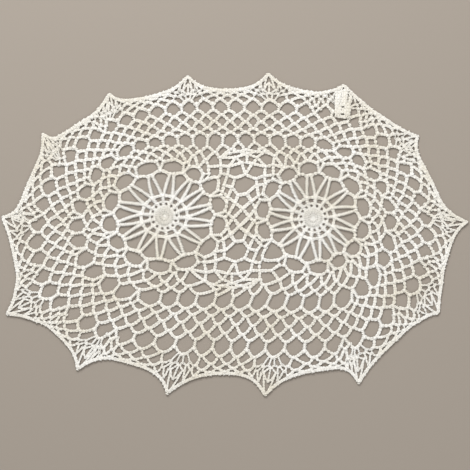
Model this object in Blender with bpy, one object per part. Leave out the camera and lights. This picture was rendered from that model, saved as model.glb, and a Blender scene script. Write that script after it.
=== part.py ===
"""Oval crocheted lace doily, lying flat: one openwork sheet with two round medallions, two rounds of big meshes,
bands of diamond meshes between them, and a border of pointed scallops. Lengths in the tables are in millimetres."""
import math
import random

import bmesh
import bpy
import numpy as np

MM = 0.001
THICKNESS = 2.0       # of the worked lace
STRAND = 2.5          # width of a worked strand between two gaps
EDGE_REACH = 1.8      # from the middle of the outermost round to the rim
UNEVEN = 0.35         # how far the handmade meshes stray from the chart
LEAST_GAP = 4.0       # gaps narrower than this stay closed
HEART_RADIUS = 8.8    # solid middle of a medallion
HEART_RISE = 0.7      # its height above the lace
HEART_SIDES = 28
FLAP_THICKNESS = 1.9  # point of lace folded back over the corner
SINK = 0.4            # how deep a raised piece is let into the lace
COTTON = (0.91, 0.89, 0.84, 1.0)

LOOPS = 58            # net loops worked between the two rounds of big meshes
HALF_TURN = LOOPS // 2
# Scallops, going round from the right. Each has the loop under its point, then x and y of the point, of the outer
# round of big meshes and of the inner round there, and how far the rim lies outside the outer round further on,
# in the middle of the curve to the next point.
SCALLOPS = (
    # name, loop, point x, point y, outer x, outer y, inner x, inner y, curve
    ("upper right end", 4.0, 166, 89, 145, 74, 122, 57, 15.0),
    ("upper right corner", 8.0, 98, 136, 96, 108, 85, 80, 14.2),
    ("top right", 12.0, 30, 146, 32, 116, 31, 85, 12.8),
    ("top left", 17.0, -42, 144, -41, 116, -37, 85, 12.8),
    ("upper left corner", 22.0, -112, 128, -112, 99, -102, 74, 14.2),
    ("upper left end", 25.5, -173, 92, -155, 66, -130, 46, 16.5),
    ("left end", 29.0, -210, 16, -179, 10, -142, 12, 18.0),
    ("lower left end", 33.0, -206, -72, -169, -52, -132, -28, 18.7),
    ("lower left corner", 37.0, -142, -122, -118, -88, -95, -53, 20.3),
    ("bottom left", 41.0, -61, -144, -45, -101, -34, -58, 21.6),
    ("bottom right", 46.0, 27, -146, 36, -104, 45, -61, 18.0),
    ("lower right corner", 50.0, 112, -135, 108, -96, 102, -57, 18.0),
    ("lower right end", 54.0, 184, -72, 162, -47, 133, -26, 17.3),
    ("right end", 58.0, 210, 11, 174, 15, 140, 19, 14.2),
)
RIM_STEPS = (0.0, 0.12, 0.28, 0.48, 0.73, 1.0, 1.3, 1.65, 2.05)  # from a point, in spaces of the outer round
PINCH = 0.8           # how quickly a point draws in, in the same spaces

# Two bars stand together at these loops, with a slit between them.
INNER_PAIRS = (2, 5, 8, 23, 26, 29, 32, 35, 38, 51, 54, 57)
OUTER_PAIRS = (0, 3, 6, 9, 22, 25, 28, 31, 34, 37, 49, 52, 55)

PETALS = 14
MEDALLIONS = {
    # name: centre x, centre y, half width, half height, direction of each big mesh in degrees
    "left": (-63.1, 16.4, 50.4, 45.4, (
        80.6, 107.8, 136, 163.4, 189.8, 210.7, 236.7, 264.4, 293.4, 322, 350, 373.7, 396.5, 417)),
    "right": (70.7, 14.9, 46.4, 45.4, (
        277, 300.2, 321.4, 344, 372.5, 400, 429.7, 455, 479.8, 504, 530.8, 555.4, 581, 609.2)),
}
# Shares of a medallion's reach.
RING, TIP, ARC, BAR_TOP, MESH_TOP, SLIT_TOP = 0.42, 0.84, 0.905, 1.09, 1.14, 1.15
BAR_SPREAD = 0.13     # half the distance between paired bars, in petals
PETAL_HEAD, PETAL_FOOT = 1.35, 0.6  # half the width of a petal's rounded head, and between the feet of two petals

# The net between the medallions, upper half. The lower half is the same, turned half round and a little longer.
MIDDLE_CENTRE = (6.0, 15.4)
LOWER_SPREAD = 1.04
LOWER_LEAN = 0.05
MIDDLE = {
    # name: (x, y)
    "star": (12.0, 72.3),
    "star left": (0.8, 69.4),
    "star right": (20.3, 69.4),
    "left top": (-4.8, 73.0),
    "right top": (27.3, 74.2),
    "knee left": (7.0, 64.2),
    "knee right": (15.7, 63.8),
    "foot": (9.6, 54.2),
    "shoulder left": (-4.9, 61.3),
    "shoulder right": (28.0, 61.3),
    "waist left": (0.7, 50.9),
    "waist right": (19.9, 50.1),
    "hip left": (-1.9, 42.4),
    "hip right": (19.6, 44.4),
    "base left": (2.9, 35.6),
    "base right": (11.0, 36.3),
    "eye left": (0.4, 28.6),
    "eye right": (15.0, 30.0),
    "eye bottom": (7.2, 23.4),
    "side left": (-6.3, 53.8),
    "side right": (26.8, 53.0),
}
# Nodes of the band beside the middle, by row and wide space.
MIDDLE_BAND = {
    ("A1", 12): (35.8, 70.4),
    ("A1", 13): (19.3, 74.6),
    ("A1", 14): (3.6, 74.8),
    ("A1", 15): (-13.0, 69.6),
    ("A2", 13): (25.4, 77.8),
    ("A2", 14): (10.9, 76.4),
    ("A2", 15): (-2.9, 76.6),
    ("A2", 16): (-17.5, 73.6),
    ("left", "mesh", 12): (-15.0, 51.0),
}
MIDDLE_MESHES = (
    ("foot", "waist left", "hip left", "base left", "base right", "hip right", "waist right"),
    ("shoulder left", "side left", "waist left", "foot", "knee left"),
    ("knee right", "foot", "waist right", "side right", "shoulder right"),
    ("base left", "eye left", "eye bottom", "eye right", "base right"),
)

# Share of the way out at which each row of net nodes lies.
INNER_ROWS = {"A1": 0.36, "A2": 0.57, "A3": 0.76}
INNER_BAR_TOP, INNER_MESH_TOP = 0.11, 0.21
OUTER_ROWS = {"B1": 0.33, "B2": 0.51, "B3": 0.69, "B4": 0.83}
OUTER_BAR_TOP, OUTER_MESH_TOP, OUTER_SLIT_TOP = 1.02, 1.16, 1.1
INNER_PAIR_SPREAD, OUTER_PAIR_SPREAD = 0.25, 0.2

# The point of the upper right corner is folded back over the border: its outline, from the fold inwards.
FLAP = ((86, 127), (108, 127), (104, 117), (102, 106), (93, 106), (91, 117))


def closed_curve(stations, values, period):
    """Smooth closed curve through values at stations; returns a function of the station."""
    count = len(stations)
    gaps = [(stations[(i + 1) % count] - stations[i]) % period for i in range(count)]
    rows, right = np.zeros((count, count)), np.zeros(count)
    for i in range(count):
        before, after = gaps[i - 1], gaps[i]
        rows[i, i - 1] += before
        rows[i, i] += 2 * (before + after)
        rows[i, (i + 1) % count] += after
        right[i] = 6 * ((values[(i + 1) % count] - values[i]) / after - (values[i] - values[i - 1]) / before)
    bend = np.linalg.solve(rows, right)

    def value(station):
        station = (station - stations[0]) % period + stations[0]
        i = max(k for k in range(count) if stations[k] <= station + 1e-9)
        width, n = gaps[i], (i + 1) % count
        done = station - stations[i]
        left = width - done
        curved = (bend[i] * left**3 + bend[n] * done**3) / (6 * width)
        straight = (values[i] / width - bend[i] * width / 6) * left
        return float(curved + straight + (values[n] / width - bend[n] * width / 6) * done)

    return value


def mixed(a, b, share):
    return (a[0] + (b[0] - a[0]) * share, a[1] + (b[1] - a[1]) * share)


SCALLOP_LOOPS = [row[1] for row in SCALLOPS]
OUTER_X, OUTER_Y, INNER_X, INNER_Y = (
    closed_curve(SCALLOP_LOOPS, [row[column] for row in SCALLOPS], LOOPS) for column in (4, 5, 6, 7)
)


def at(loop, level):
    """Point of the net: level 0 is the middle line of the inner round of big meshes, level 1 of the outer round."""
    return mixed((INNER_X(loop), INNER_Y(loop)), (OUTER_X(loop), OUTER_Y(loop)), level)


WIDE = [k for k in range(LOOPS) if k not in INNER_PAIRS]


def wide(space, step):
    """The wide space of the inner round that lies step wide spaces on from this one."""
    return WIDE[(WIDE.index(space) + step) % len(WIDE)]


def beside(nodes, name, other, distance):
    """The place this far from one node on the way to another."""
    return mixed(nodes[name], nodes[other], distance / math.dist(nodes[name], nodes[other]))


def medallion_nodes(nodes):
    for name, (x, y, half_width, half_height, directions) in MEDALLIONS.items():

        def aim(petal):
            turns, i = divmod(math.floor(petal), PETALS)
            following = directions[(i + 1) % PETALS] + (360 if i + 1 == PETALS else 0)
            return directions[i] + (following - directions[i]) * (petal % 1) + 360 * turns

        def point(petal, share, even=False):
            angle = math.radians(directions[0] + 360 * petal / PETALS if even else aim(petal))
            return (x + half_width * share * math.cos(angle), y + half_height * share * math.sin(angle))

        for k in range(PETALS):
            nodes[name, "ring", k] = mixed(point(k + 0.5, RING, True), point(k + 0.5, RING), 0.5)
            nodes[name, "tip", k] = point(k, TIP)
            nodes[name, "arc", k] = point(k + 0.5, ARC)
            nodes[name, "bar a", k] = point(k + 0.5 - BAR_SPREAD, BAR_TOP)
            nodes[name, "bar b", k] = point(k + 0.5 + BAR_SPREAD, BAR_TOP)
            nodes[name, "mesh", k] = point(k, MESH_TOP)
            nodes[name, "slit", k] = point(k + 0.5, SLIT_TOP)
        for k in range(PETALS):
            n, p = (k + 1) % PETALS, (k - 1) % PETALS
            nodes[name, "tip a", k] = beside(nodes, (name, "tip", k), (name, "arc", p), PETAL_HEAD)
            nodes[name, "tip b", k] = beside(nodes, (name, "tip", k), (name, "arc", k), PETAL_HEAD)
            nodes[name, "foot a", k] = beside(nodes, (name, "ring", k), (name, "ring", n), PETAL_FOOT)
            nodes[name, "foot b", k] = beside(nodes, (name, "ring", k), (name, "ring", p), PETAL_FOOT)


def turned_name(name):
    if name[0] in MEDALLIONS:
        return ({"left": "right", "right": "left"}[name[0]],) + name[1:]
    return (name[0], (name[1] + HALF_TURN) % LOOPS)


def turned_point(point):
    away = point[1] - MIDDLE_CENTRE[1]
    return (2 * MIDDLE_CENTRE[0] - point[0] - LOWER_LEAN * abs(away), MIDDLE_CENTRE[1] - LOWER_SPREAD * away)


def middle_nodes(nodes):
    for name, place in MIDDLE.items():
        nodes["upper", name] = place
        nodes["lower", name] = turned_point(place)


def anchors():
    """The medallion or middle node that each wide space of the inner round hangs from."""
    around = [("slit", 12)]
    for k in (13, 0, 1, 2, 3, 4, 5, 6, 7, 8):
        around += [("mesh", k), ("slit", k)]
    held = {}
    for side, first in (("left", 16), ("right", 45)):
        space = first
        for kind, petal in around:
            held[space] = (side, kind, petal)
            space = wide(space, 1)
    for half, first in (("upper", 13), ("lower", 42)):
        for step, name in enumerate(("right top", "star", "left top")):
            held[first + step] = (half, name)
    return held


def inner_nodes(nodes, held):
    """The diamond net between the medallions and the inner round, and the bars of that round."""

    def point(space, on, share):
        following = wide(space, 1)
        loop = space + (following - space) % LOOPS * on - 0.5
        return mixed(mixed(nodes[held[space]], nodes[held[following]], on), at(loop, 0), share)

    for space in WIDE:
        nodes["A1", space] = point(space, 0.5, INNER_ROWS["A1"])
        nodes["A2", space] = point(space, 0.0, INNER_ROWS["A2"])
        nodes["A3", space] = point(space, 0.5, INNER_ROWS["A3"])
    for name, place in MIDDLE_BAND.items():
        nodes[name] = place
        nodes[turned_name(name)] = turned_point(place)
    for space in WIDE:
        paired = (space + 1) % LOOPS in INNER_PAIRS
        middle, spread = (space + 0.5, INNER_PAIR_SPREAD) if paired else (space, 0.0)
        nodes["T", space, 0] = at(middle - spread, INNER_BAR_TOP)
        nodes["T", space, 1] = at(middle + spread, INNER_BAR_TOP)


def outer_nodes(nodes):
    """The diamond net between the two rounds, and the bars and tops of the outer round."""
    tops = []
    for k in range(LOOPS):
        nodes["B0", k] = at(k - 0.5, INNER_MESH_TOP)
        nodes["B1", k] = at(k, OUTER_ROWS["B1"])
        nodes["B2", k] = at(k - 0.5, OUTER_ROWS["B2"])
        nodes["B3", k] = at(k, OUTER_ROWS["B3"])
        nodes["B4", k] = at(k - 0.5, OUTER_ROWS["B4"])
        paired = (k - 1) % LOOPS in OUTER_PAIRS
        spread = OUTER_PAIR_SPREAD if paired else 0.0
        nodes["U", k, 0] = at(k - 0.5 - spread, OUTER_BAR_TOP)
        nodes["U", k, 1] = at(k - 0.5 + spread, OUTER_BAR_TOP)
        if paired:
            nodes["C", k - 0.5] = at(k - 0.5, OUTER_SLIT_TOP)
            tops.append(k - 0.5)
        nodes["C", float(k)] = at(k, OUTER_MESH_TOP)
        tops.append(float(k))
    return sorted(tops)


def net_nodes():
    """Every node of the net by name, what each wide space hangs from, and the tops of the outer round."""
    nodes = {}
    medallion_nodes(nodes)
    middle_nodes(nodes)
    held = anchors()
    inner_nodes(nodes, held)
    tops = outer_nodes(nodes)
    stray = random.Random(58)
    for name, (x, y) in nodes.items():
        nodes[name] = (x + stray.uniform(-UNEVEN, UNEVEN), y + stray.uniform(-UNEVEN, UNEVEN))
    return nodes, held, tops


def gap_corners(nodes, held):
    """Corners of each gap that is cut through, as lists of points; the even net is cut at twice its pitch."""
    gaps = []

    def gap(*names):
        gaps.append([nodes[name] for name in names])

    for name in MEDALLIONS:
        for k in range(PETALS):
            n, p = (k + 1) % PETALS, (k - 1) % PETALS
            gap(*((name, kind, j) for kind, j in (
                ("foot b", k), ("foot a", k), ("tip a", n), ("arc", k), ("tip b", k))))
            gap(*((name, kind, j) for kind, j in (
                ("tip", k), ("arc", k), ("bar a", k), ("mesh", k), ("bar b", p), ("arc", p))))
    for h, space in enumerate(WIDE):
        n, p = wide(space, 1), wide(space, -1)
        gap(("A2", space), ("A3", space), ("T", space, 0), ("B0", space), ("T", p, 1), ("A3", p))
        if h % 2:
            gap(held[space], ("A2", n), ("A2", space), ("A2", p))
        else:
            gap(held[p], held[space], held[n], ("A2", space))
    for k in range(LOOPS):
        n, p, m = (k + 1) % LOOPS, (k - 1) % LOOPS, (k + 2) % LOOPS
        gap(("B3", k), ("B4", n), ("U", n, 0), ("C", float(k)), ("U", k, 1), ("B4", k))
        if k % 2:
            continue
        gap(("B0", k), ("B2", n), ("B4", k), ("B2", p))
        gap(("B0", k), ("B0", n), ("B0", m), ("B2", n))
        gap(("B2", n), ("B3", n), ("B4", n), ("B3", k))
    for half in ("upper", "lower"):
        for names in MIDDLE_MESHES:
            gap(*((half, name) for name in names))
    return gaps


def area_of(points):
    return sum(a[0] * b[1] - b[0] * a[1] for a, b in zip(points, points[1:] + points[:1])) / 2


def inset(corners, distance):
    """The convex gap left inside corners when the strand on each side takes up distance."""
    if area_of(corners) < 0:
        corners = corners[::-1]
    far = 1000.0
    left = [(-far, -far), (far, -far), (far, far), (-far, far)]
    for a, b in zip(corners, corners[1:] + corners[:1]):
        length = math.dist(a, b)
        if length < 0.5:
            continue
        out = ((b[1] - a[1]) / length, (a[0] - b[0]) / length)
        limit = a[0] * out[0] + a[1] * out[1] - distance
        kept = []
        for p, q in zip(left, left[1:] + left[:1]):
            beyond_p = p[0] * out[0] + p[1] * out[1] - limit
            beyond_q = q[0] * out[0] + q[1] * out[1] - limit
            if beyond_p <= 0:
                kept.append(p)
            if (beyond_p < 0) != (beyond_q < 0) and beyond_p != beyond_q:
                kept.append(mixed(p, q, beyond_p / (beyond_p - beyond_q)))
        left = kept
        if len(left) < 3:
            return []
    return [p for p, q in zip(left, left[1:] + left[:1]) if math.dist(p, q) > 0.4]


def width_of(points):
    """Diameter of the round hole with the same ratio of area to rim."""
    if len(points) < 3:
        return 0.0
    return 4 * abs(area_of(points)) / sum(math.dist(a, b) for a, b in zip(points, points[1:] + points[:1]))


def rim_line(tops):
    """Middle line of the outermost round, once round the doily from the first scallop."""
    count = len(tops)
    under = [tops.index(row[1] % LOOPS) for row in SCALLOPS]
    middles, depths = [], []
    for k, row in enumerate(SCALLOPS):
        following = under[(k + 1) % len(under)]
        middles.append((under[k] + (following - under[k]) % count / 2) % count)
        depths.append(row[8] - EDGE_REACH)
    order = sorted(range(len(middles)), key=lambda i: middles[i])
    depth = closed_curve([middles[i] for i in order], [depths[i] for i in order], count)

    def low(space):
        """The rim with no points, above a place counted in spaces of the outer round."""
        i = math.floor(space)
        a = tops[i % count] + LOOPS * (i // count)
        b = tops[(i + 1) % count] + LOOPS * ((i + 1) // count)
        loop = a + (b - a) * (space - i)
        inner, outer = at(loop, 0), at(loop, 1)
        return mixed(outer, inner, -depth(space) / math.dist(inner, outer))

    lifts = []
    for space, row in zip(under, SCALLOPS):
        x, y = low(space)
        share = 1 - EDGE_REACH / math.dist((x, y), row[2:4])
        lifts.append(((row[2] - x) * share, (row[3] - y) * share))

    def rim(space):
        x, y = low(space)
        for start, lift in zip(under, lifts):
            away = (space - start + count / 2) % count - count / 2
            near = math.exp(-abs(away) / PINCH)
            x, y = x + lift[0] * near, y + lift[1] * near
        return (x, y)

    line = []
    for k, start in enumerate(under):
        width = (under[(k + 1) % len(under)] - start) % count
        steps = list(RIM_STEPS) + [width / 2] + [width - step for step in RIM_STEPS[:0:-1]]
        line += [rim(start + step) for step in steps]
    return line


def grown(line, distance):
    """The closed line moved outwards by distance, with its sharp points kept short."""
    if area_of(line) < 0:
        line = line[::-1]
    moved = []
    for a, b, c in zip(line[-1:] + line[:-1], line, line[1:] + line[:1]):
        first, second = math.dist(a, b), math.dist(b, c)
        n1 = ((b[1] - a[1]) / first, (a[0] - b[0]) / first)
        n2 = ((c[1] - b[1]) / second, (b[0] - c[0]) / second)
        x, y = n1[0] + n2[0], n1[1] + n2[1]
        size = math.hypot(x, y)
        reach = distance * min(2 / size, 1.6)
        moved.append((b[0] + x / size * reach, b[1] + y / size * reach))
    return moved


def middle_of(line):
    xs, ys = [p[0] for p in line], [p[1] for p in line]
    return ((min(xs) + max(xs)) / 2, (min(ys) + max(ys)) / 2)


def flat_piece(name, loops, low, high, shift, collection):
    """A flat piece with the first loop as its outline and the others cut through, from height low to high."""
    data = bpy.data.curves.new(name + " outline", "CURVE")
    data.dimensions = "2D"
    data.fill_mode = "BOTH"
    data.extrude = (high - low) / 2 * MM
    for loop in loops:
        spline = data.splines.new("POLY")
        spline.points.add(len(loop) - 1)
        for point, (x, y) in zip(spline.points, loop):
            point.co = ((x - shift[0]) * MM, (y - shift[1]) * MM, 0.0, 1.0)
        spline.use_cyclic_u = True
    drawn = bpy.data.objects.new(name + " outline", data)
    collection.objects.link(drawn)
    drawn.location.z = (high + low) / 2 * MM
    bpy.context.view_layer.update()
    mesh = bpy.data.meshes.new_from_object(drawn.evaluated_get(bpy.context.evaluated_depsgraph_get()))
    mesh.transform(drawn.matrix_world)
    mesh.name = name
    bpy.data.objects.remove(drawn)
    work = bmesh.new()
    work.from_mesh(mesh)
    bmesh.ops.remove_doubles(work, verts=work.verts, dist=1e-6)
    bmesh.ops.recalc_face_normals(work, faces=work.faces)
    work.to_mesh(mesh)
    work.free()
    piece = bpy.data.objects.new(name, mesh)
    collection.objects.link(piece)
    return piece


def cotton():
    material = bpy.data.materials.new("white cotton")
    material.use_nodes = True
    shader = material.node_tree.nodes["Principled BSDF"]
    shader.inputs["Base Color"].default_value = COTTON
    shader.inputs["Roughness"].default_value = 0.9
    return material


def main():
    for item in list(bpy.data.objects):
        bpy.data.objects.remove(item)
    shown = bpy.data.collections.new("lace doily")
    raised = bpy.data.collections.new("raised pieces")
    for collection in (shown, raised):
        bpy.context.scene.collection.children.link(collection)
    raised.hide_render = True

    nodes, held, tops = net_nodes()
    outline = grown(rim_line(tops), EDGE_REACH)
    gaps = [inset(corners, STRAND / 2) for corners in gap_corners(nodes, held)]
    gaps = [gap for gap in gaps if width_of(gap) > LEAST_GAP]
    shift = middle_of(outline)
    doily = flat_piece("doily", [outline] + gaps, 0.0, THICKNESS, shift, shown)

    low = THICKNESS - SINK
    additions = [flat_piece("folded point", [list(FLAP)], low, THICKNESS + FLAP_THICKNESS, shift, raised)]
    for name, (x, y, *_) in MEDALLIONS.items():
        turns = [2 * math.pi * (i + 0.5) / HEART_SIDES for i in range(HEART_SIDES)]
        ring = [(x + HEART_RADIUS * math.cos(t), y + HEART_RADIUS * math.sin(t)) for t in turns]
        additions.append(flat_piece(name + " heart", [ring], low, THICKNESS + HEART_RISE, shift, raised))
    for piece in additions:
        piece.hide_render = True
        piece.display_type = "WIRE"
        join = doily.modifiers.new("add " + piece.name, "BOOLEAN")
        join.operation = "UNION"
        join.solver = "EXACT"
        join.object = piece
    doily.data.materials.append(cotton())


main()
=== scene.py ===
"""The lace doily, crocheted in cotton from two round medallions outwards and laid flat.

The chart names each join of the lace and each strand between joins. The strands are then worked in stitches.
Chart lengths are in millimetres: x to the right and y up the chart, before the part is centred on its box.
"""

import math
import random

import bpy
import numpy as np
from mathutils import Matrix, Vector


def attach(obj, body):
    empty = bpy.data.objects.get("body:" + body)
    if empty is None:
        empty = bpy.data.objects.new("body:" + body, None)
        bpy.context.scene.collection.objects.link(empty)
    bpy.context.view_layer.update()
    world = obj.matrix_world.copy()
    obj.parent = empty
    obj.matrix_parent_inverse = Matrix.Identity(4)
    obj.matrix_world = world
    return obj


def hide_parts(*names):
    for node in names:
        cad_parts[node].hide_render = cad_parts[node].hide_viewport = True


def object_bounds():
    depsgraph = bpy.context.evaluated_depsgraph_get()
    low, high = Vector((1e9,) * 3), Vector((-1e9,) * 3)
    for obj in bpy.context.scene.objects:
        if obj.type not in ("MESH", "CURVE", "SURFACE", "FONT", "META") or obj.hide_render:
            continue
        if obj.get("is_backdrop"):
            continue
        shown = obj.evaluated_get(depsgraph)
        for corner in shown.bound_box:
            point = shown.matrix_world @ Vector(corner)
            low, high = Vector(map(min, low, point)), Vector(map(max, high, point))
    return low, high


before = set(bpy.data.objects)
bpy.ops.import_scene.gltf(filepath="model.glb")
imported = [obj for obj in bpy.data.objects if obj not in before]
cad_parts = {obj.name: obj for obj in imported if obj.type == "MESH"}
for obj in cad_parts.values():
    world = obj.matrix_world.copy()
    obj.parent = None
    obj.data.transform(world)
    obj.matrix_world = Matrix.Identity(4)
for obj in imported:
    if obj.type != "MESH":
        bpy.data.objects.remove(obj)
packed_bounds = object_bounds()

# ---------------------------------------------------------------- the chart, in millimetres
EDGE_REACH = 1.8  # from the line of the rim to the outline
UNEVEN = 0.35  # how far a join strays

LOOPS = 58  # in the outer round
HALF_TURN = LOOPS // 2
SCALLOPS = (
    # name, loop, point x, point y, outer x, outer y, inner x, inner y, curve
    ("upper right end", 4.0, 166, 89, 145, 74, 122, 57, 15.0),
    ("upper right corner", 8.0, 98, 136, 96, 108, 85, 80, 14.2),
    ("top right", 12.0, 30, 146, 32, 116, 31, 85, 12.8),
    ("top left", 17.0, -42, 144, -41, 116, -37, 85, 12.8),
    ("upper left corner", 22.0, -112, 128, -112, 99, -102, 74, 14.2),
    ("upper left end", 25.5, -173, 92, -155, 66, -130, 46, 16.5),
    ("left end", 29.0, -210, 16, -179, 10, -142, 12, 18.0),
    ("lower left end", 33.0, -206, -72, -169, -52, -132, -28, 18.7),
    ("lower left corner", 37.0, -142, -122, -118, -88, -95, -53, 20.3),
    ("bottom left", 41.0, -61, -144, -45, -101, -34, -58, 21.6),
    ("bottom right", 46.0, 27, -146, 36, -104, 45, -61, 18.0),
    ("lower right corner", 50.0, 112, -135, 108, -96, 102, -57, 18.0),
    ("lower right end", 54.0, 184, -72, 162, -47, 133, -26, 17.3),
    ("right end", 58.0, 210, 11, 174, 15, 140, 19, 14.2),
)
PINCH = 0.8  # how fast a scallop narrows to its point, in spaces
# the spaces of each round where a pair of bars parts two meshes by a slit
INNER_PAIRS = (2, 5, 8, 23, 26, 29, 32, 35, 38, 51, 54, 57)
OUTER_PAIRS = (0, 3, 6, 9, 22, 25, 28, 31, 34, 37, 49, 52, 55)

PETALS = 14
MEDALLIONS = {
    # name: centre x, centre y, half width, half height
    "left": (-63.1, 16.4, 50.4, 45.4),
    "right": (70.7, 14.9, 46.4, 45.4),
}
# the direction of each big mesh of a medallion, in degrees
MESH_DIRECTIONS = {
    "left": (80.6, 107.8, 136, 163.4, 189.8, 210.7, 236.7, 264.4, 293.4, 322, 350, 373.7, 396.5, 417),
    "right": (277, 300.2, 321.4, 344, 372.5, 400, 429.7, 455, 479.8, 504, 530.8, 555.4, 581, 609.2),
}
# shares of the way from a medallion's centre to its edge
RING, TIP, ARC, BAR_TOP, MESH_TOP, SLIT_TOP = 0.42, 0.84, 0.905, 1.09, 1.14, 1.15
BAR_SPREAD = 0.13
PETAL_HEAD, PETAL_FOOT = 1.35, 0.6

# the upper half of the middle: the lower half is the same turned half round, a little longer and leaning
MIDDLE_CENTRE = (6.0, 15.4)
LOWER_SPREAD = 1.04
LOWER_LEAN = 0.05
MIDDLE = {
    "star": (12.0, 72.3), "star left": (0.8, 69.4), "star right": (20.3, 69.4),
    "left top": (-4.8, 73.0), "right top": (27.3, 74.2),
    "knee left": (6.6, 64.4), "knee middle": (11.6, 64.6), "knee right": (15.9, 64.0), "foot": (9.6, 54.2),
    "shoulder left": (-4.9, 61.3), "shoulder right": (28.0, 61.3),
    "waist left": (0.7, 50.9), "waist right": (19.9, 50.1),
    "hip left": (-1.9, 42.4), "hip right": (19.6, 44.4),
    "base left": (2.9, 35.6), "base right": (11.0, 36.3),
    "eye left": (0.4, 28.6), "eye right": (15.0, 30.0), "eye bottom": (7.2, 23.4),
    "side left": (-6.3, 53.8), "side right": (26.8, 53.0),
    "far left": (-12.6, 61.8), "low left": (-12.7, 54.6), "west": (-23.6, 61.4),
    "flank": (-9.4, 44.2), "hollow": (-6.3, 33.3), "heart": (-1.2, 15.2), "far right": (35.0, 62.9),
}
# band nodes beside the middle, by row and space
MIDDLE_BAND = {
    ("A1", 12): (35.8, 70.4), ("A1", 13): (19.3, 74.6), ("A1", 14): (3.6, 74.8), ("A1", 15): (-13.0, 69.6),
    ("A2", 13): (25.4, 77.8), ("A2", 14): (10.9, 76.4), ("A2", 15): (-2.9, 76.6), ("A2", 16): (-17.5, 73.6),
    ("left", "mesh", 12): (-15.0, 51.0),
}
MIDDLE_RUNS = (
    ("shoulder left", "star left", "star", "star right", "shoulder right"),
    ("star left", "knee left"),
    ("star", "knee middle"),
    ("knee right", "star right"),
    ("shoulder left", "knee left", "knee middle", "knee right", "shoulder right"),
    ("knee left", "foot", "knee right"),
    ("shoulder left", "side left", "waist left", "foot", "waist right", "side right", "shoulder right"),
    ("waist left", "hip left", "base left", "base right", "hip right", "waist right"),
    ("base left", "eye left", "eye bottom", "eye right", "base right"),
    ("star left", ("A1", 15), "far left", "shoulder left"),
    ("far left", "low left", "side left", "flank", "hip left", "hollow", "eye left"),
    ("far left", "west"),
    (("left", "slit", 12), "west", ("A1", 16)),
    ("low left", ("left", "mesh", 12)),
    ("flank", ("left", "slit", 11), "hollow", ("left", "mesh", 11)),
    ("eye left", ("left", "slit", 10), "heart", "eye bottom", "other heart"),
    ("eye right", ("right", "mesh", 10), "other heart"),
    ("eye right", ("right", "slit", 9), "hip right", ("right", "mesh", 9), "side right"),
    ("side right", ("right", "slit", 8), "far right", "shoulder right"),
    ("far right", ("A1", 12)),
    ("far right", ("right", "mesh", 8)),
    ("star right", "right top"),
    ("star", ("A2", 14)),
)
# shares of the way across each band, by row of loops
INNER_ROWS = {"A1": 0.36, "A2": 0.57, "A3": 0.76}
INNER_BAR_TOP, INNER_MESH_TOP = 0.11, 0.21
OUTER_ROWS = {"B1": 0.33, "B2": 0.51, "B3": 0.69, "B4": 0.83}
OUTER_BAR_TOP, OUTER_MESH_TOP, OUTER_SLIT_TOP = 1.02, 1.16, 1.1
INNER_PAIR_SPREAD, OUTER_PAIR_SPREAD = 0.25, 0.2

# The border: places counted in spaces of the outer round from the scallop's point, and shares of the way from
# the tops of the outer round to the rim.
FAN = ((-0.48, 0.3), (-0.15, 0.26), (0.18, 0.26), (0.52, 0.3))
FAN_FOOT, FAN_BASE = 0.5, -0.03
FAN_ROW_1 = ((-0.38, 0.34), (0.02, 0.28), (0.42, 0.34))
FAN_ROW_2 = ((-0.72, 0.6), (-0.36, 0.54), (0.37, 0.54), (0.7, 0.6))
FAN_ROW_3 = ((-0.5, 0.89), (0.0, 0.975), (0.48, 0.89))
FAN_CROSSING = ((0.0, 0.64),)  # under the slit at the point
CURVE_ROWS = (
    # row, nodes fewer than spaces, step in spaces, share
    ("P", 0, 0.84, 0.42),
    ("R", 1, 0.85, 0.72),
    ("V", 0, 0.79, 0.92),
)


def closed_curve(stations, values, period):
    """A smooth function that takes these values at these stations and repeats after the period."""
    count = len(stations)
    gaps = [(stations[(i + 1) % count] - stations[i]) % period for i in range(count)]
    rows, right = np.zeros((count, count)), np.zeros(count)
    for i in range(count):
        before, after = gaps[i - 1], gaps[i]
        rows[i, i - 1] += before
        rows[i, i] += 2 * (before + after)
        rows[i, (i + 1) % count] += after
        right[i] = 6 * ((values[(i + 1) % count] - values[i]) / after - (values[i] - values[i - 1]) / before)
    bend = np.linalg.solve(rows, right)

    def value(station):
        station = (station - stations[0]) % period + stations[0]
        i = max(k for k in range(count) if stations[k] <= station + 1e-9)
        width, n = gaps[i], (i + 1) % count
        done = station - stations[i]
        left = width - done
        curved = (bend[i] * left**3 + bend[n] * done**3) / (6 * width)
        straight = (values[i] / width - bend[i] * width / 6) * left
        return float(curved + straight + (values[n] / width - bend[n] * width / 6) * done)

    return value


def mixed(a, b, share):
    """The point this share of the way from a to b."""
    return (a[0] + (b[0] - a[0]) * share, a[1] + (b[1] - a[1]) * share)


SCALLOP_LOOPS = [row[1] for row in SCALLOPS]
OUTER_X, OUTER_Y, INNER_X, INNER_Y = (
    closed_curve(SCALLOP_LOOPS, [row[column] for row in SCALLOPS], LOOPS) for column in (4, 5, 6, 7)
)


def at(loop, level):
    """The point between the two rounds at this loop: level 0 on the inner one, 1 on the outer one."""
    return mixed((INNER_X(loop), INNER_Y(loop)), (OUTER_X(loop), OUTER_Y(loop)), level)


WIDE = [k for k in range(LOOPS) if k not in INNER_PAIRS]


def wide(space, step=0):
    """The wide space of the inner round that lies step wide spaces on from this one."""
    return WIDE[(WIDE.index(space) + step) % len(WIDE)]


def turned(name):
    """The node that a node of the upper middle becomes in the lower one."""
    if isinstance(name, str):
        return ("upper", name[6:]) if name.startswith("other ") else ("lower", name)
    if name[0] in MEDALLIONS:
        return ({"left": "right", "right": "left"}[name[0]],) + name[1:]
    return (name[0], (name[1] + HALF_TURN) % LOOPS)


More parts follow.
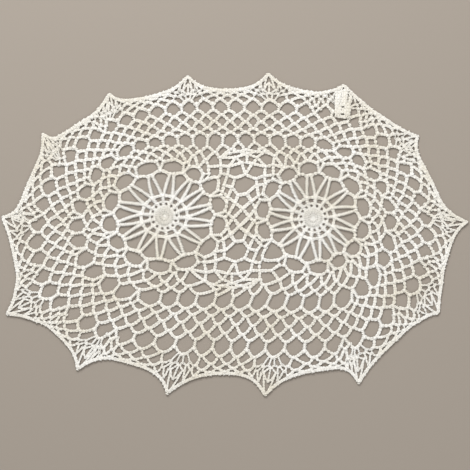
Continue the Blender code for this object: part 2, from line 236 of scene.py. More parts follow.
def upright(name):
    """The node that a name in the middle's runs means in the upper half."""
    if isinstance(name, str):
        return ("lower", name[6:]) if name.startswith("other ") else ("upper", name)
    return name


def turned_point(point):
    x, y = point
    away = y - MIDDLE_CENTRE[1]
    return (2 * MIDDLE_CENTRE[0] - x - LOWER_LEAN * abs(away), MIDDLE_CENTRE[1] - LOWER_SPREAD * away)


class Net:
    """Nodes by name, and strands as (group, kind, from, to, the arch it belongs to)."""

    def __init__(self):
        self.nodes = {}
        self.strands = []
        self.group = ""

    def tie(self, kind, *names):
        for a, b in zip(names, names[1:]):
            self.strands.append((self.group, kind, a, b, None))

    def arch(self, kind, left, top, right):
        for a, b in ((left, top), (top, right)):
            self.strands.append((self.group, kind, a, b, (left, top, right)))


def beside(net, name, other, distance):
    """The place this far from one node on the way to another."""
    return mixed(net.nodes[name], net.nodes[other], distance / math.dist(net.nodes[name], net.nodes[other]))


def medallion(net, name):
    """A ring, petals from it, arcs between their tips, and a round of big meshes and slits."""
    x, y, half_width, half_height = MEDALLIONS[name]
    directions = MESH_DIRECTIONS[name]

    def aim(petal):
        low = math.floor(petal)
        turns, i = divmod(low, PETALS)
        following = directions[(i + 1) % PETALS] + (360 if i + 1 == PETALS else 0)
        return directions[i] + (following - directions[i]) * (petal - low) + 360 * turns

    def point(petal, share, even=False):
        angle = math.radians(directions[0] + 360 * petal / PETALS if even else aim(petal))
        return (x + half_width * share * math.cos(angle), y + half_height * share * math.sin(angle))

    net.group = name + " medallion"
    for k in range(PETALS):
        net.nodes[name, "ring", k] = mixed(point(k + 0.5, RING, True), point(k + 0.5, RING), 0.5)
        net.nodes[name, "tip", k] = point(k, TIP)
        net.nodes[name, "arc", k] = point(k + 0.5, ARC)
        net.nodes[name, "bar a", k] = point(k + 0.5 - BAR_SPREAD, BAR_TOP)
        net.nodes[name, "bar b", k] = point(k + 0.5 + BAR_SPREAD, BAR_TOP)
        net.nodes[name, "mesh", k] = point(k, MESH_TOP)
        net.nodes[name, "slit", k] = point(k + 0.5, SLIT_TOP)
    for k in range(PETALS):
        tip, ring = (name, "tip", k), (name, "ring", k)
        before, after = (k - 1) % PETALS, (k + 1) % PETALS
        net.nodes[name, "tip a", k] = beside(net, tip, (name, "arc", before), PETAL_HEAD)
        net.nodes[name, "tip b", k] = beside(net, tip, (name, "arc", k), PETAL_HEAD)
        net.nodes[name, "foot a", k] = beside(net, ring, (name, "ring", after), PETAL_FOOT)
        net.nodes[name, "foot b", k] = beside(net, ring, (name, "ring", before), PETAL_FOOT)
    for k in range(PETALS):
        n = (k + 1) % PETALS
        net.tie("chain", (name, "ring", k), (name, "ring", n))
        net.tie("treble", (name, "foot b", k), (name, "tip b", k))
        net.tie("treble", (name, "foot a", k), (name, "tip a", n))
        net.tie("chain", (name, "tip a", k), (name, "tip b", k))
        net.arch("chain", (name, "tip b", k), (name, "arc", k), (name, "tip a", n))
        net.tie("treble", (name, "arc", k), (name, "bar a", k))
        net.tie("treble", (name, "arc", k), (name, "bar b", k))
        net.tie("chain", (name, "bar a", k), (name, "slit", k), (name, "bar b", k))
        net.arch("chain", (name, "bar b", k), (name, "mesh", n), (name, "bar a", n))


def anchors():
    """The node that each wide space of the inner band starts from, on a medallion or the middle."""
    around = [("slit", 12)]
    for k in (13, 0, 1, 2, 3, 4, 5, 6, 7, 8):
        around += [("mesh", k), ("slit", k)]
    held = {}
    for side, first in (("left", 16), ("right", 45)):
        space = first
        for kind, petal in around:
            held[space] = (side, kind, petal)
            space = wide(space, 1)
    for half, first in (("upper", 13), ("lower", 42)):
        held[first] = (half, "right top")
        held[first + 1] = (half, "star")
        held[first + 2] = (half, "left top")
    return held


def inner_band(net):
    """Three rows of loops round both medallions, and the inner round of bars and big meshes."""
    net.group = "inner net"
    held = anchors()

    def loop(space, on):
        following = wide(space, 1)
        return space + (following - space) % LOOPS * on - 0.5

    def point(space, on, share):
        a, b = net.nodes[held[space]], net.nodes[held[wide(space, 1)]]
        return mixed(mixed(a, b, on), at(loop(space, on), 0), share)

    for space in WIDE:
        net.nodes["A1", space] = point(space, 0.5, INNER_ROWS["A1"])
        net.nodes["A2", space] = point(space, 0.0, INNER_ROWS["A2"])
        net.nodes["A3", space] = point(space, 0.5, INNER_ROWS["A3"])
    for name, place in MIDDLE_BAND.items():
        net.nodes[name] = place
        net.nodes[turned(name)] = turned_point(place)
    for space in WIDE:
        following = wide(space, 1)
        if space % HALF_TURN == 15:
            net.tie("chain", held[space], ("A1", space))
        elif space % HALF_TURN == 16:
            net.tie("chain", ("A1", space), held[following])
        else:
            net.arch("chain", held[space], ("A1", space), held[following])
        net.arch("chain", ("A1", wide(space, -1)), ("A2", space), ("A1", space))
        net.arch("chain", ("A2", space), ("A3", space), ("A2", following))
        paired = (space + 1) % LOOPS in INNER_PAIRS
        middle, spread = (space + 0.5, INNER_PAIR_SPREAD) if paired else (space, 0.0)
        for side, sign in ((0, -1), (1, 1)):
            net.nodes["T", space, side] = at(middle + sign * spread, INNER_BAR_TOP)
        net.tie("treble", ("A3", space), ("T", space, 0))
        if paired:
            net.tie("treble", ("A3", space), ("T", space, 1))
    for k in range(LOOPS):
        net.nodes["B0", k] = at(k - 0.5, INNER_MESH_TOP)
    for space in WIDE:
        net.arch("chain", ("T", wide(space, -1), 1), ("B0", space), ("T", space, 0))
        if (space + 1) % LOOPS in INNER_PAIRS:
            net.tie("chain", ("T", space, 0), ("B0", (space + 1) % LOOPS), ("T", space, 1))


def half_of(band, loop):
    """The group of strands that a loop's part of a band belongs to."""
    return ("upper " if loop < HALF_TURN else "lower ") + band


def outer_band(net):
    """Four rows of loops, and the outer round of bars and big meshes. Gives the loops at its tops."""
    tops = []
    for k in range(LOOPS):
        net.nodes["B1", k] = at(k, OUTER_ROWS["B1"])
        net.nodes["B2", k] = at(k - 0.5, OUTER_ROWS["B2"])
        net.nodes["B3", k] = at(k, OUTER_ROWS["B3"])
        net.nodes["B4", k] = at(k - 0.5, OUTER_ROWS["B4"])
        net.group = half_of("outer net", k)
        paired = (k - 1) % LOOPS in OUTER_PAIRS
        spread = OUTER_PAIR_SPREAD if paired else 0.0
        net.nodes["U", k, 0] = at(k - 0.5 - spread, OUTER_BAR_TOP)
        net.nodes["U", k, 1] = at(k - 0.5 + spread, OUTER_BAR_TOP)
        net.tie("treble", ("B4", k), ("U", k, 0))
        if paired:
            net.tie("treble", ("B4", k), ("U", k, 1))
            net.nodes["C", k - 0.5] = at(k - 0.5, OUTER_SLIT_TOP)
            net.tie("chain", ("U", k, 0), ("C", k - 0.5), ("U", k, 1))
            tops.append(k - 0.5)
        net.nodes["C", float(k)] = at(k, OUTER_MESH_TOP)
        tops.append(float(k))
    for k in range(LOOPS):
        n, p = (k + 1) % LOOPS, (k - 1) % LOOPS
        net.group = half_of("outer net", k)
        net.arch("chain", ("B0", k), ("B1", k), ("B0", n))
        net.arch("chain", ("B1", p), ("B2", k), ("B1", k))
        net.arch("chain", ("B2", k), ("B3", k), ("B2", n))
        net.arch("chain", ("B3", p), ("B4", k), ("B3", k))
        net.arch("chain", ("U", k, 1), ("C", float(k)), ("U", n, 0))
    return sorted(tops)


def rim_of(tops):
    """The line of the outermost round, as a function of the place in spaces of the outer round."""
    count = len(tops)
    under = [tops.index(row[1] % LOOPS) for row in SCALLOPS]
    middles = {}
    for k, row in enumerate(SCALLOPS):
        following = under[(k + 1) % len(under)]
        middles[(under[k] + (following - under[k]) % count / 2) % count] = row[8] - EDGE_REACH
    order = sorted(middles)
    depth = closed_curve(order, [middles[place] for place in order], count)

    def loop(place):
        i = math.floor(place)
        a = tops[i % count] + LOOPS * (i // count)
        b = tops[(i + 1) % count] + LOOPS * ((i + 1) // count)
        return a + (b - a) * (place - i)

    def low(place):
        inner, outer = at(loop(place), 0), at(loop(place), 1)
        return mixed(outer, inner, -depth(place) / math.dist(inner, outer))

    lifts = []
    for place, row in zip(under, SCALLOPS):
        x, y = low(place)
        share = 1 - EDGE_REACH / math.dist((x, y), row[2:4])
        lifts.append(((row[2] - x) * share, (row[3] - y) * share))

    def rim(place):
        x, y = low(place)
        for start, lift in zip(under, lifts):
            away = (place - start + count / 2) % count - count / 2
            near = math.exp(-abs(away) / PINCH)
            x, y = x + lift[0] * near, y + lift[1] * near
        return (x, y)

    return under, rim, lambda place, share: mixed(at(loop(place), OUTER_MESH_TOP), rim(place), share)


def border(net, tops):
    """A fan of trebles in the mesh under each point, and rows of loops that close to the rim."""
    under, rim, point = rim_of(tops)
    count = len(tops)
    for k, start in enumerate(under):
        spaces = (under[(k + 1) % len(under)] - start) % count
        feet = [(place * FAN_FOOT, FAN_BASE) for place, share in FAN]
        rows = {"E": feet, "F": FAN, "L": FAN_ROW_1, "G": FAN_ROW_2, "H": FAN_ROW_3, "S": FAN_CROSSING}
        for row, places in rows.items():
            for i, (place, share) in enumerate(places):
                net.nodes[row, k, i] = point(start + place, share)
        for row, fewer, step, share in CURVE_ROWS:
            number = spaces - fewer
            for i in range(number):
                net.nodes[row, k, i] = point(start + spaces / 2 + (i - (number - 1) / 2) * step, share)
    for k, start in enumerate(under):
        n = (k + 1) % len(under)
        spaces = (under[n] - start) % count
        base = [("C", tops[(start + i) % count]) for i in range(spaces + 1)]
        net.group = half_of("border", SCALLOPS[k][1])
        for i in range(len(FAN)):
            net.tie("treble", ("E", k, i), ("F", k, i))
        for i in range(len(FAN_ROW_1)):
            net.arch("chain", ("F", k, i), ("L", k, i), ("F", k, i + 1))
        feet = [("F", k, 3)] + base[1:-1] + [("F", n, 0)]
        row_1 = [("P", k, i) for i in range(spaces)]
        for a, node, b in zip(feet, row_1, feet[1:]):
            net.arch("chain", a, node, b)
        under_2 = [("L", k, i) for i in range(3)] + row_1 + [("L", n, 0)]
        row_2 = [("G", k, i) for i in range(1, 4)] + [("R", k, i) for i in range(spaces - 1)] + [("G", n, 0)]
        for a, node, b in zip(under_2, row_2, under_2[1:]):
            net.arch("chain", a, node, b)
        net.arch("chain", ("G", k, 1), ("S", k, 0), ("G", k, 2))
        net.tie("chain", ("L", k, 1), ("S", k, 0))
        row_3 = [("H", k, 1), ("H", k, 2)] + [("V", k, i) for i in range(spaces)] + [("H", n, 0)]
        for a, node, b in zip(row_2, row_3, row_2[1:] + [("G", n, 1)]):
            net.arch("chain", a, node, b)
    return under, rim


def lace_net():
    """The whole chart, with its joins a little uneven."""
    net = Net()
    for name in MEDALLIONS:
        medallion(net, name)
    for name, place in MIDDLE.items():
        net.nodes["upper", name] = place
        net.nodes["lower", name] = turned_point(place)
    inner_band(net)
    net.group = "middle"
    for names in MIDDLE_RUNS:
        net.tie("chain", *map(upright, names))
        net.tie("chain", *map(turned, names))
    tops = outer_band(net)
    under, rim = border(net, tops)
    stray = random.Random(58)
    for name, (x, y) in net.nodes.items():
        net.nodes[name] = (x + stray.uniform(-UNEVEN, UNEVEN), y + stray.uniform(-UNEVEN, UNEVEN))
    return net, tops, under, rim


# ---------------------------------------------------------------- the worked strands
MM = 0.001
CHART_SHIFT = (-0.0623, 0.0644)  # from the chart's zero to the middle of the doily's box
NET_HEIGHT = 1.2  # middle of a strand above the table
WAVE = 0.18  # how far the sheet rises and falls
# how far the border's rows lie above the rest
ROW_RISE = {"L": 0.1, "P": 0.1, "G": 0.3, "R": 0.3, "H": 0.45, "V": 0.45}
RING_STEP = 2.1  # between the points along a strand
CORE = {"chain": 0.85, "treble": 1.0, "rib": 0.75}  # radius inside the stitches
CORE_SIDES = 5
CHAIN_PITCH, TREBLE_PITCH = 2.4, 1.45
ROUND = 0.21  # how far an arch bows out, of the height of its top
FOOT, FOOT_SHARE = 1.2, 0.3  # from a join to where the next arch starts, and the most of its width
STRAND_STRAY = 0.3
KNOT_RISE = 0.15
HEART_RIBS = 28
HEART_RINGS = (
    # radius, kind, size, rise
    (1.5, "chain", 0.9, 0.3),
    (3.4, "rib", 1.0, -0.35),
    (5.2, "rib", 1.0, -0.35),
    (7.0, "rib", 1.0, -0.35),
    (8.9, "chain", 0.7, 0.1),
    (13.1, "chain", 0.62, 0.1),
)
RIB_STARTS, RIB_END, RIB_SIZE, RIB_RISE = (1.6, 4.4), 8.8, 0.9, 0.4  # a long rib, then a short one
POST_START, POST_END, POST_SIZE = 9.4, 12.9, 0.66
POST_PULL = 0.055  # each pair of posts leans together
SPOKE_START, SPOKE_SIZE = 13.2, 1.15
PETAL_BELLY = 0.55
FAN_NODES = "EFLGHS"  # the rows of a scallop's fan, whose joins are pulled tight
STAR_PLACES = ("star", "star left", "star right", "knee middle", "left top", "right top")
EYE_PLACES = ("eye left", "eye right", "eye bottom", "heart", "hollow", "base left", "base right")
# how thick the strands are at each row, place or node, where it isn't 1
SIZES = {row: 0.62 for row in FAN_NODES} | {row: 0.88 for row in "PRV"}
SIZES |= {place: 0.92 for place in STAR_PLACES}
SIZES |= {(row, space): 0.92 for row in ("A1", "A2") for space in (13, 14, 15, 42, 43, 44)}
SIZES |= {place: 1.15 for place in EYE_PLACES}
EDGE_OUT, EDGE_RISE = 0.15, 0.5  # the edge's chain, from the line of the rim
RIM_STEPS = 20  # in each space
PICOT_STEP, PICOT_REACH, PICOT_SIZE, PICOT_DROP = 4.3, 1.1, 0.72, 0.2
FLAP_RUNS = (
    # x, y and x, y of both ends, and how far the strand bows to its left: the folded point
    (92.3, 127.4, 92.0, 106.9, -0.5),
    (94.4, 128.0, 94.3, 117.2, 0.2),
    (97.4, 129.4, 97.2, 117.0, 0.3),
    (100.3, 129.4, 100.2, 117.2, -0.4),
    (104.6, 125.4, 102.8, 116.8, 0.5),
    (94.6, 116.2, 94.3, 107.0, 0.2),
    (100.2, 117.0, 99.8, 106.2, 0.3),
    (102.8, 117.0, 101.4, 105.8, 0.8),
    (91.3, 106.9, 101.4, 105.6, -0.3),
    (91.6, 116.6, 103.0, 115.9, 0.4),
    (94.4, 110.2, 101.6, 109.7, 0.2),
    (92.2, 127.0, 102.2, 128.0, 0.8),
)
FLAP_RISE, FLAP_STRAY, FLAP_SIZE = 1.7, 0.25, 1.12
GROUPS = (
    "left medallion",
    "right medallion",
    "middle",
    "inner net",
    "upper outer net",
    "lower outer net",
    "upper border",
    "lower border",
    "edge",
    "folded point",
)


def height(x, y):
    """The middle of a strand above the table, on a sheet that doesn't lie quite flat."""
    return NET_HEIGHT + WAVE * (math.sin(x / 17 + 1) * math.cos(y / 13) + 0.5 * math.sin((x + y) / 7))


def run(points):
    """Points (x, y, rise) as places in metres above the table."""
    over, up = CHART_SHIFT
    return [((x + over) * MM, (y + up) * MM, (height(x, y) + rise) * MM) for x, y, rise in points]


def segment(a, b, lift=(0.0, 0.0), rises=(0.0, 0.0)):
    """A strand from a to b, bowed by the lift at its middle."""
    steps = max(2, round(math.dist(a, b) / RING_STEP))
    points = []
    for i in range(steps + 1):
        t = i / steps
        bow = 4 * t * (1 - t)
        x = a[0] + (b[0] - a[0]) * t + lift[0] * bow
        y = a[1] + (b[1] - a[1]) * t + lift[1] * bow
        points.append((x, y, rises[0] + (rises[1] - rises[0]) * t))
    return points


def circle(x, y, radius, rise):
    steps = round(math.tau * radius / RING_STEP)
    turns = [math.tau * i / steps for i in range(steps + 1)]
    return [(x + radius * math.cos(turn), y + radius * math.sin(turn), rise) for turn in turns]


def heart(net, name):
    """The close middle of a medallion, as (kind, size, points)."""
    x, y = MEDALLIONS[name][:2]
    strands = []

    def spoke(turn, start, end, rise=0.0):
        aim = (math.cos(turn), math.sin(turn))
        near, far = (x + start * aim[0], y + start * aim[1]), (x + end * aim[0], y + end * aim[1])
        return segment(near, far, rises=(rise, rise))

    for radius, kind, size, rise in HEART_RINGS:
        strands.append((kind, size, circle(x, y, radius, rise)))
    for i in range(HEART_RIBS):
        turn = math.radians(MESH_DIRECTIONS[name][0]) + math.tau * (i - 0.5) / HEART_RIBS
        strands.append(("rib", RIB_SIZE, spoke(turn, RIB_STARTS[i % 2], RIB_END, RIB_RISE)))
        pull = POST_PULL if i % 2 else -POST_PULL
        strands.append(("treble", POST_SIZE, spoke(turn + pull, POST_START, POST_END)))
    for k in range(PETALS):
        ring = net.nodes[name, "ring", k]
        turn, reach = math.atan2(ring[1] - y, ring[0] - x), math.dist(ring, (x, y))
        strands.append(("treble", SPOKE_SIZE, spoke(turn, SPOKE_START, reach)))
    return strands


def edge(count, rim, under):
    """The worked edge along the rim: its row of chain, and where its picots stand."""
    fine = [rim(i / RIM_STEPS) for i in range(count * RIM_STEPS)]
    length = sum(math.dist(a, b) for a, b in zip(fine, fine[1:] + fine[:1]))

    def spaced(step):
        """Places along the rim, each with its direction outwards."""
        number = round(length / step)
        places, walked, i = [], 0.0, 0
        for k in range(number):
            while walked + math.dist(fine[i], fine[(i + 1) % len(fine)]) < k * length / number:
                walked += math.dist(fine[i], fine[(i + 1) % len(fine)])
                i += 1
            a, b = fine[i - 1], fine[(i + 1) % len(fine)]
            way = math.dist(a, b) or 1.0
            places.append((fine[i], ((b[1] - a[1]) / way, (a[0] - b[0]) / way)))
        return places

    def moved(place, out, reach, rise):
        return (place[0] + out[0] * reach, place[1] + out[1] * reach, rise)

    row = [moved(place, out, EDGE_OUT, EDGE_RISE) for place, out in spaced(RING_STEP)]
    stray = random.Random(7)
    picots = []
    points = [rim(place) for place in under]
    for place, out in spaced(PICOT_STEP):
        if min(math.dist(place, point) for point in points) >= PICOT_STEP:
            picots.append(moved(place, out, PICOT_REACH * stray.uniform(0.4, 1.1), EDGE_RISE - PICOT_DROP))
    return row + row[:1], picots


def worked():
    """{group: ([(kind, size, points)], [(size, knot point)])}, in metres."""
    net, tops, under, rim = lace_net()
    groups = {name: ([], []) for name in GROUPS}
    stray = random.Random(14)

    def rise_of(name):
        return ROW_RISE.get(name[0], 0.0)

    def size_of(*names):
        return min(SIZES.get(name) or SIZES.get(name[1]) or SIZES.get(name[0], 1.0) for name in names)

    for group, kind, a, b, arch in net.strands:
        start, end = net.nodes[a], net.nodes[b]
        lift = (0.0, 0.0)
        if arch:
            left, top, right = (net.nodes[part] for part in arch)
            middle = mixed(left, right, 0.5)
            lift = ((top[0] - middle[0]) * ROUND, (top[1] - middle[1]) * ROUND)
            step = min(FOOT_SHARE, FOOT / math.dist(left, right))
            if a == arch[0]:
                start = mixed(left, right, step)
            else:
                end = mixed(right, left, step)
        if a[1] in ("foot a", "foot b"):
            other = net.nodes[a[0], "foot b" if a[1] == "foot a" else "foot a", a[2]]
            way = math.dist(start, other) / PETAL_BELLY
            lift = ((other[0] - start[0]) / way, (other[1] - start[1]) / way)
        lift = tuple(value + stray.uniform(-STRAND_STRAY, STRAND_STRAY) for value in lift)
        points = run(segment(start, end, lift, (rise_of(a), rise_of(b))))
        groups[group][0].append((kind, size_of(a, b), points))
    homes = {}
    for group, kind, a, b, arch in net.strands:
        for name in (a, b):
            homes.setdefault(name, group)
    for name, group in homes.items():
        if name[0] not in FAN_NODES:
            place = (*net.nodes[name], rise_of(name) + KNOT_RISE)
            groups[group][1].append((size_of(name), run([place])[0]))
    for name in MEDALLIONS:
        for kind, size, points in heart(net, name):
            groups[name + " medallion"][0].append((kind, size, run(points)))
    row, picots = edge(len(tops), rim, under)
    groups["edge"][0].append(("chain", 1.0, run(row)))
    groups["edge"][1].extend((PICOT_SIZE, point) for point in run(picots))
    flap = groups["folded point"]
    for x0, y0, x1, y1, bow in FLAP_RUNS:
        way = math.dist((x0, y0), (x1, y1)) / bow
        lift = ((y0 - y1) / way, (x1 - x0) / way)
        rise = FLAP_RISE + stray.uniform(-FLAP_STRAY, FLAP_STRAY)
        flap[0].append(("chain", FLAP_SIZE, run(segment((x0, y0), (x1, y1), lift, (rise, rise)))))
    return groups


# ---------------------------------------------------------------- meshes
def mesh_of(name, points, faces):
    mesh = bpy.data.meshes.new(name)
    mesh.from_pydata(points, [], faces, shade_flat=False)
    mesh.validate()
    return mesh


def tubes(name, runs, sides):
    """One mesh of closed round strands. runs holds (centre points, radius at each point)."""
    points, faces = [], []
    for centres, radii in runs:
        line = np.array(centres)
        along = np.gradient(line, axis=0)
        along /= np.linalg.norm(along, axis=1)[:, None]
        across = np.cross(along, (0.0, 0.0, 1.0))
        across /= np.linalg.norm(across, axis=1)[:, None]
        up = np.cross(across, along)
        start = len(points)
        for place, side, top, radius in zip(line, across, up, radii):
            for i in range(sides):
                turn = math.tau * i / sides
                points.append(tuple(place + radius * (math.cos(turn) * side + math.sin(turn) * top)))
        last = len(line) - 1
        for ring in range(last):
            for i in range(sides):
                a, b = start + ring * sides + i, start + ring * sides + (i + 1) % sides
                faces.append((a, a + sides, b + sides, b))
        faces.append(tuple(range(start, start + sides)))
        faces.append(tuple(reversed(range(start + last * sides, start + (last + 1) * sides))))
    return mesh_of(name, points, faces)


def stitch(name, lobes):
    """A stitch of a few plump lobes. Each lobe is rows of x, y, z and radius, in millimetres."""
    runs = []
    for lobe in lobes:
        centres = [tuple(MM * value for value in row[:3]) for row in lobe]
        runs.append((centres, [MM * row[3] for row in lobe]))
    obj = bpy.data.objects.new(name, tubes(name, runs, CORE_SIDES))
    bpy.context.collection.objects.link(obj)
    return obj


CHAIN_LOBES = tuple(
    (
        (-1.3, 0.66 * side, 0.02, 0.44),
        (-0.45, 0.88 * side, 0.12, 0.6),
        (0.45, 0.92 * side, 0.14, 0.6),
        (1.3, 0.72 * side, -0.02, 0.44),
    )
    for side in (-1, 1)
)
TREBLE_LOBES = (
    ((-0.85, -1.5, 0.0, 0.4), (-0.35, -0.65, 0.66, 0.6), (0.35, 0.65, 0.66, 0.6), (0.85, 1.5, 0.0, 0.4)),
)
KNOT_LOBES = (
    ((-1.4, -0.6, 0.0, 0.35), (-0.5, -0.2, 0.45, 0.68), (0.5, 0.2, 0.45, 0.68), (1.4, 0.6, 0.0, 0.35)),
    ((-0.7, 1.3, 0.0, 0.35), (-0.2, 0.45, 0.35, 0.64), (0.2, -0.45, 0.35, 0.64), (0.7, -1.3, 0.0, 0.35)),
)


KINDS = {"chain": 0.0, "treble": 1.0, "knot": 2.0, "rib": 3.0}
BRANCHES = (
    # shape, pitch, kind, how far it tips and spins, least and greatest size
    ("Chain stitch", "Chain pitch", "chain", 0.3, 0.1, 0.95, 1.15),
    ("Treble wrap", "Treble pitch", "treble", 0.3, 0.1, 0.95, 1.15),
    ("Knot", None, "knot", 0.15, math.pi, 1.15, 1.5),
)


def stitch_tree(cotton):
    """Sets stitches along each chain, wraps along each treble, and a knot at each loose point."""
    tree = bpy.data.node_groups.new("stitches along strands", "GeometryNodeTree")
    tree.is_modifier = True
    sockets = tree.interface
    sockets.new_socket("Strands", in_out="INPUT", socket_type="NodeSocketGeometry")
    for title in [branch[0] for branch in BRANCHES]:
        sockets.new_socket(title, in_out="INPUT", socket_type="NodeSocketObject")
    for pitch in [branch[1] for branch in BRANCHES if branch[1]]:
        sockets.new_socket(pitch, in_out="INPUT", socket_type="NodeSocketFloat")
    sockets.new_socket("Seed", in_out="INPUT", socket_type="NodeSocketInt")
    sockets.new_socket("Stitches", in_out="OUTPUT", socket_type="NodeSocketGeometry")
    nodes, links = tree.nodes, tree.links
    given, out = nodes.new("NodeGroupInput"), nodes.new("NodeGroupOutput")
    joined = nodes.new("GeometryNodeJoinGeometry")

    def stored(name):
        node = nodes.new("GeometryNodeInputNamedAttribute")
        node.data_type = "FLOAT"
        node.inputs["Name"].default_value = name
        return node.outputs["Attribute"]

    kind, given_size = stored("kind"), stored("size")
    for title, pitch, wanted, tip, spin, least, greatest in BRANCHES:
        same = nodes.new("FunctionNodeCompare")
        same.data_type, same.operation = "FLOAT", "EQUAL"
        links.new(kind, same.inputs[0])
        same.inputs[1].default_value = KINDS[wanted]
        apart = nodes.new("GeometryNodeSeparateGeometry")
        apart.domain = "POINT"
        links.new(given.outputs["Strands"], apart.inputs["Geometry"])
        links.new(same.outputs["Result"], apart.inputs["Selection"])
        place = nodes.new("GeometryNodeInstanceOnPoints")
        if pitch:
            lines = nodes.new("GeometryNodeMeshToCurve")
            spaced = nodes.new("GeometryNodeResampleCurve")
            spaced.mode = "LENGTH"
            along = nodes.new("GeometryNodeInputTangent")
            links.new(apart.outputs["Selection"], lines.inputs["Mesh"])
            links.new(lines.outputs["Curve"], spaced.inputs["Curve"])
            links.new(given.outputs[pitch], spaced.inputs["Length"])
            links.new(spaced.outputs["Curve"], place.inputs["Points"])
            turned_along = nodes.new("FunctionNodeAlignRotationToVector")
            turned_along.axis, turned_along.pivot_axis = "X", "Z"
            links.new(along.outputs["Tangent"], turned_along.inputs["Vector"])
        else:
            links.new(apart.outputs["Selection"], place.inputs["Points"])
        uneven = nodes.new("FunctionNodeRandomValue")
        uneven.data_type = "FLOAT_VECTOR"
        uneven.inputs["Min"].default_value = (-tip, -tip / 3, -spin)
        uneven.inputs["Max"].default_value = (tip, tip / 3, spin)
        links.new(given.outputs["Seed"], uneven.inputs["Seed"])
        if pitch:
            rotate = nodes.new("FunctionNodeRotateRotation")
            rotate.rotation_space = "LOCAL"
            links.new(turned_along.outputs["Rotation"], rotate.inputs["Rotation"])
            links.new(uneven.outputs["Value"], rotate.inputs["Rotate By"])
            links.new(rotate.outputs["Rotation"], place.inputs["Rotation"])
        else:
            links.new(uneven.outputs["Value"], place.inputs["Rotation"])
        size = nodes.new("FunctionNodeRandomValue")
        size.data_type = "FLOAT"
        size.inputs[2].default_value, size.inputs[3].default_value = least, greatest
        links.new(given.outputs["Seed"], size.inputs["Seed"])
        scaled = nodes.new("ShaderNodeMath")
        scaled.operation = "MULTIPLY"
        links.new(size.outputs[1], scaled.inputs[0])
        links.new(given_size, scaled.inputs[1])
        # a thin strand's stitches keep their length
        fitted = nodes.new("ShaderNodeCombineXYZ")
        links.new(size.outputs[1] if pitch else scaled.outputs["Value"], fitted.inputs["X"])
        links.new(scaled.outputs["Value"], fitted.inputs["Y"])
        links.new(scaled.outputs["Value"], fitted.inputs["Z"])
        links.new(fitted.outputs["Vector"], place.inputs["Scale"])
        shape = nodes.new("GeometryNodeObjectInfo")
        links.new(given.outputs[title], shape.inputs["Object"])
        links.new(shape.outputs["Geometry"], place.inputs["Instance"])
        links.new(place.outputs["Instances"], joined.inputs["Geometry"])
    real = nodes.new("GeometryNodeRealizeInstances")
    finish = nodes.new("GeometryNodeSetMaterial")
    finish.inputs["Material"].default_value = cotton
    links.new(joined.outputs["Geometry"], real.inputs["Geometry"])
    links.new(real.outputs["Geometry"], finish.inputs["Geometry"])
    links.new(finish.outputs["Geometry"], out.inputs["Stitches"])
    return tree


def stitched(name, strands, knots, tree, shapes, seed):
    """The stitches along these strands, as one plain mesh object."""
    points, edges, kinds, sizes = [], [], [], []
    for kind, size, places in strands:
        start = len(points)
        points.extend(places)
        kinds.extend([KINDS[kind]] * len(places))
        sizes.extend([size] * len(places))
        edges.extend((i, i + 1) for i in range(start, len(points) - 1))
    for size, place in knots:
        points.append(place)
        kinds.append(KINDS["knot"])
        sizes.append(size)
    mesh = bpy.data.meshes.new(name + " guide")
    mesh.from_pydata(points, edges, [])
    mesh.attributes.new("kind", "FLOAT", "POINT").data.foreach_set("value", kinds)
    mesh.attributes.new("size", "FLOAT", "POINT").data.foreach_set("value", sizes)
    guide = bpy.data.objects.new(name + " guide", mesh)
    bpy.context.collection.objects.link(guide)
    modifier = guide.modifiers.new("stitches", "NODES")
    modifier.node_group = tree
    values = dict(shapes) | {"Chain pitch": CHAIN_PITCH * MM, "Treble pitch": TREBLE_PITCH * MM, "Seed": seed}
    for item in tree.interface.items_tree:
        if item.in_out == "INPUT" and item.name in values:
            modifier[item.identifier] = values[item.name]
    guide.update_tag()
    graph = bpy.context.evaluated_depsgraph_get()
    made = bpy.data.meshes.new_from_object(guide.evaluated_get(graph))
    made.name = name
    bpy.data.objects.remove(guide)
    obj = bpy.data.objects.new(name.replace(" ", "_"), made)
    bpy.context.collection.objects.link(obj)
    return obj


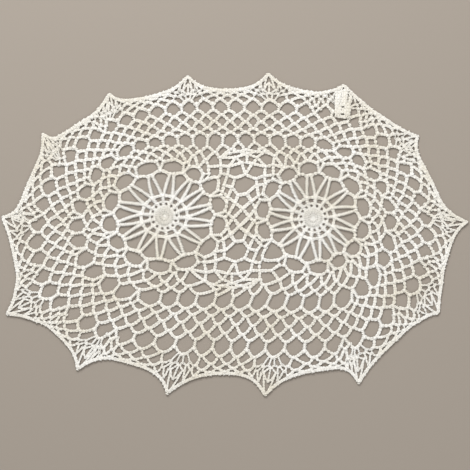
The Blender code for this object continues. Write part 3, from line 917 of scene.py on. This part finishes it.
# ---------------------------------------------------------------- cotton
def cotton_material(name, tone):
    """Matt off-white cotton: faint warm patches, fine specks and a fibrous grain."""
    material = bpy.data.materials.new(name)
    material.use_nodes = True
    nodes, links = material.node_tree.nodes, material.node_tree.links
    shader = nodes["Principled BSDF"]
    shader.inputs["Roughness"].default_value = 0.85
    shader.inputs["Specular IOR Level"].default_value = 0.25
    shader.inputs["Sheen Weight"].default_value = 0.25
    shader.inputs["Sheen Roughness"].default_value = 0.5
    where = nodes.new("ShaderNodeTexCoord")

    def noise(scale, detail=2.0):
        node = nodes.new("ShaderNodeTexNoise")
        node.inputs["Scale"].default_value = scale
        node.inputs["Detail"].default_value = detail
        links.new(where.outputs["Object"], node.inputs["Vector"])
        return node

    def ramp(source, *stops):
        node = nodes.new("ShaderNodeValToRGB")
        node.color_ramp.elements[0].position, node.color_ramp.elements[0].color = stops[0]
        node.color_ramp.elements[1].position, node.color_ramp.elements[1].color = stops[1]
        links.new(source, node.inputs["Fac"])
        return node

    light, dark = (*tone, 1.0), (tone[0] * 0.9, tone[1] * 0.87, tone[2] * 0.8, 1.0)
    patches = ramp(noise(22.0).outputs["Fac"], (0.35, dark), (0.6, light))
    specks = ramp(noise(900.0).outputs["Fac"], (0.3, (0.86, 0.84, 0.8, 1.0)), (0.55, (1.0, 1.0, 1.0, 1.0)))
    both = nodes.new("ShaderNodeMix")
    both.data_type, both.blend_type = "RGBA", "MULTIPLY"
    both.inputs["Factor"].default_value = 1.0
    links.new(patches.outputs["Color"], both.inputs["A"])
    links.new(specks.outputs["Color"], both.inputs["B"])
    links.new(both.outputs["Result"], shader.inputs["Base Color"])
    bump = nodes.new("ShaderNodeBump")
    bump.inputs["Strength"].default_value = 0.5
    bump.inputs["Distance"].default_value = 0.0003
    links.new(noise(2600.0, 3.0).outputs["Fac"], bump.inputs["Height"])
    links.new(bump.outputs["Normal"], shader.inputs["Normal"])
    return material


def floor_material():
    material = bpy.data.materials.new("plain floor")
    material.use_nodes = True
    shader = material.node_tree.nodes["Principled BSDF"]
    shader.inputs["Base Color"].default_value = (0.30, 0.262, 0.222, 1.0)
    shader.inputs["Roughness"].default_value = 0.7
    return material


# ---------------------------------------------------------------- the doily
# The second tone is the same cotton made darker as painted shade. It colours the cores, which show only in
# the hollows between and under the stitches.
STITCH_TONE, INNER_SHADED_TONE = (0.86, 0.85, 0.82), (0.78, 0.765, 0.72)
cotton = cotton_material("crocheted cotton", STITCH_TONE)
shaded_inner_cotton = cotton_material("cotton inside the stitches", INNER_SHADED_TONE)
groups = worked()
tree = stitch_tree(cotton)
shapes = {
    "Chain stitch": stitch("chain stitch", CHAIN_LOBES),
    "Treble wrap": stitch("treble wrap", TREBLE_LOBES),
    "Knot": stitch("knot", KNOT_LOBES),
}
runs = []
for strands, knots in groups.values():
    runs.extend((points, [CORE[kind] * size * MM] * len(points)) for kind, size, points in strands)
core = tubes("doily net", runs, CORE_SIDES)
# the cores take the darker cotton: painted shade in the gaps between the stitches
core.materials.append(shaded_inner_cotton)
net_piece = bpy.data.objects.new("doily_net", core)
bpy.context.collection.objects.link(net_piece)
stitches = []
for seed, name in enumerate(GROUPS, start=1):
    stitches.append(stitched(name + " stitches", *groups[name], tree, shapes, seed))
for shape in shapes.values():
    bpy.data.objects.remove(shape)
for piece in (net_piece, *stitches):
    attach(piece, "root")
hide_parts("doily")

# ---------------------------------------------------------------- floor, light and camera
FLOOR_SIDE = 6.0
half = FLOOR_SIDE / 2
corners = [(-half, -half, 0), (half, -half, 0), (half, half, 0), (-half, half, 0)]
floor_mesh = mesh_of("floor", corners, [(0, 1, 2, 3)])
floor_mesh.materials.append(floor_material())
floor = bpy.data.objects.new("floor", floor_mesh)
bpy.context.collection.objects.link(floor)
floor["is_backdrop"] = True


def softbox(name, place, size, watts):
    light = bpy.data.lights.new(name, "AREA")
    light.size, light.energy = size, watts
    obj = bpy.data.objects.new(name, light)
    obj.location = place
    obj.rotation_mode = "QUATERNION"
    obj.rotation_quaternion = (-Vector(place)).to_track_quat("-Z", "Y")
    bpy.context.collection.objects.link(obj)


softbox("soft window light", (-0.3, 1.1, 1.3), 0.9, 29.0)
softbox("room fill", (0.6, -0.9, 1.6), 1.6, 10.0)
world = bpy.data.worlds.new("room")
world.use_nodes = True
world.node_tree.nodes["Background"].inputs["Color"].default_value = (1.0, 0.98, 0.95, 1.0)
world.node_tree.nodes["Background"].inputs["Strength"].default_value = 0.40
bpy.context.scene.world = world
bpy.context.scene.view_settings.view_transform = "Standard"

PICTURE_WIDTH = 0.423  # metres across the photograph, at the table
PICTURE_CENTRE = (0.00039, -0.00039)
CAMERA_HEIGHT = 1.6
camera_data = bpy.data.cameras.new("camera")
camera_data.sensor_width = 36.0
camera_data.lens = camera_data.sensor_width * CAMERA_HEIGHT / PICTURE_WIDTH
camera = bpy.data.objects.new("camera", camera_data)
camera.location = (*PICTURE_CENTRE, CAMERA_HEIGHT)
bpy.context.collection.objects.link(camera)
bpy.context.scene.camera = camera

shown_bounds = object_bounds()
for title, box in (("packed", packed_bounds), ("shown", shown_bounds)):
    [list(corner) for corner in box]
